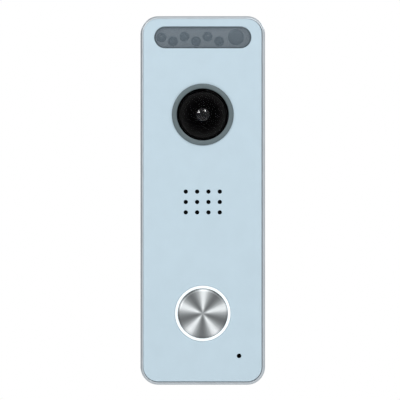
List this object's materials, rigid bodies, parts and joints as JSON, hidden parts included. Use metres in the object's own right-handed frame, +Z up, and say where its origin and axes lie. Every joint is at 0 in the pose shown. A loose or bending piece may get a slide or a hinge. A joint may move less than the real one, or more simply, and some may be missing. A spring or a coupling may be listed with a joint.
{
  "type": "door intercom panel",
  "caption": "Slim upright door intercom panel with a rounded metal housing, infrared window, camera, speaker grille, lit round call button and microphone, hung on a wall bracket.",
  "frame": {"origin": "centre of the wall bracket's back face, where the panel meets the wall", "axes": "+Z up, +Y into the wall, +X to the right of someone facing the panel; the front faces -Y"},
  "size_m": [0.0412, 0.027, 0.122],
  "materials": {
    "housing_metal": "satin anodised",
    "face_paint": "fine matt powder coat",
    "bezel_grey": "satin",
    "smoked_plastic": "smoked infrared-pass polycarbonate",
    "clear_glass": "coated clear glass",
    "lens_glass": "polished lens",
    "led_resin": "tinted epoxy",
    "brushed_cap": "spun brushed",
    "opal_plastic": "opal light guide",
    "black_plastic": "moulded",
    "baffle_black": "flocked matt black",
    "lamp_holder_grey": "moulded, pale grey",
    "rubber": "soft moulded",
    "plated_steel": "zinc plated",
    "dark_metal": "dark plated",
    "speaker_paper": "coated cone",
    "board_green": "solder mask",
    "terminal_green": "moulded",
    "trimmer_blue": "moulded",
    "silicon": "sensor face",
    "ivory_plastic": "moulded"
  },
  "bodies": {
    "bracket": {"wall_bracket": "plated_steel", "lock_screw": "plated_steel"},
    "housing": {"housing_shell": "housing_metal", "face_plate": "face_paint", "wall_seal": "rubber", "rear_cover": "black_plastic", "cover_screw_1": "plated_steel", "cover_screw_2": "plated_steel", "cover_screw_3": "plated_steel", "cover_screw_4": "plated_steel", "ir_window": "smoked_plastic", "led_holder": "lamp_holder_grey", "ir_led_1": "led_resin", "ir_led_2": "led_resin", "ir_led_3": "led_resin", "ir_led_4": "led_resin", "ir_led_5": "led_resin", "ir_led_6": "led_resin", "photocell": "dark_metal", "led_board": "board_green", "camera_bezel": "bezel_grey", "camera_glass": "clear_glass", "glass_gasket": "baffle_black", "camera_yoke": "black_plastic", "speaker_mesh": "speaker_paper", "speaker_gasket": "rubber", "speaker_frame": "dark_metal", "speaker_cone": "speaker_paper", "speaker_magnet": "plated_steel", "speaker_clamp": "black_plastic", "microphone": "dark_metal", "microphone_boot": "rubber", "light_ring": "opal_plastic", "backlight_board": "board_green", "button_spring": "plated_steel", "button_guide": "black_plastic", "switch_body": "black_plastic", "main_board": "board_green", "board_screw_1": "plated_steel", "board_screw_2": "plated_steel", "processor_chip": "black_plastic", "capacitor": "dark_metal", "terminal_block": "terminal_green", "terminal_screw_1": "plated_steel", "terminal_screw_2": "plated_steel", "terminal_screw_3": "plated_steel", "terminal_screw_4": "plated_steel", "trimmer_body": "trimmer_blue"},
    "button": {"button_cap": "brushed_cap", "button_plunger": "black_plastic"},
    "switch": {"switch_plunger": "ivory_plastic"},
    "camera": {"camera_cradle": "black_plastic", "sensor_board": "board_green", "image_sensor": "silicon", "lens_holder": "black_plastic", "lens_barrel": "baffle_black", "front_lens": "lens_glass", "camera_plug": "ivory_plastic"},
    "trimmer": {"trimmer_rotor": "plated_steel"}
  },
  "joints": [
    {"name": "housing_swing", "type": "hinge", "parent": "bracket", "child": "housing", "pos_m": [0, 0, 0.061], "axis": [-1, 0, 0], "range_deg": [0, 15]},
    {"name": "call_button_press", "type": "slide", "parent": "housing", "child": "button", "axis": [0, 1, 0], "range_m": [0, 0.001], "stiffness_N_per_m": 1200, "springref_m": -0.001, "deforming": ["button_spring"]},
    {"name": "switch_travel", "type": "slide", "parent": "housing", "child": "switch", "axis": [0, 1, 0], "range_m": [0, 0.001]},
    {"name": "camera_tilt", "type": "hinge", "parent": "housing", "child": "camera", "pos_m": [0, -0.0175, 0.02845], "axis": [1, 0, 0], "range_deg": [-5, 5]},
    {"name": "volume_trimmer", "type": "hinge", "parent": "housing", "child": "trimmer", "pos_m": [-0.0095, -0.008, -0.037], "axis": [0, -1, 0], "range_deg": [-135, 135]}
  ],
  "couplings": [
    {"joint": "switch_travel", "follows": "call_button_press", "ratio": 1}
  ]
}
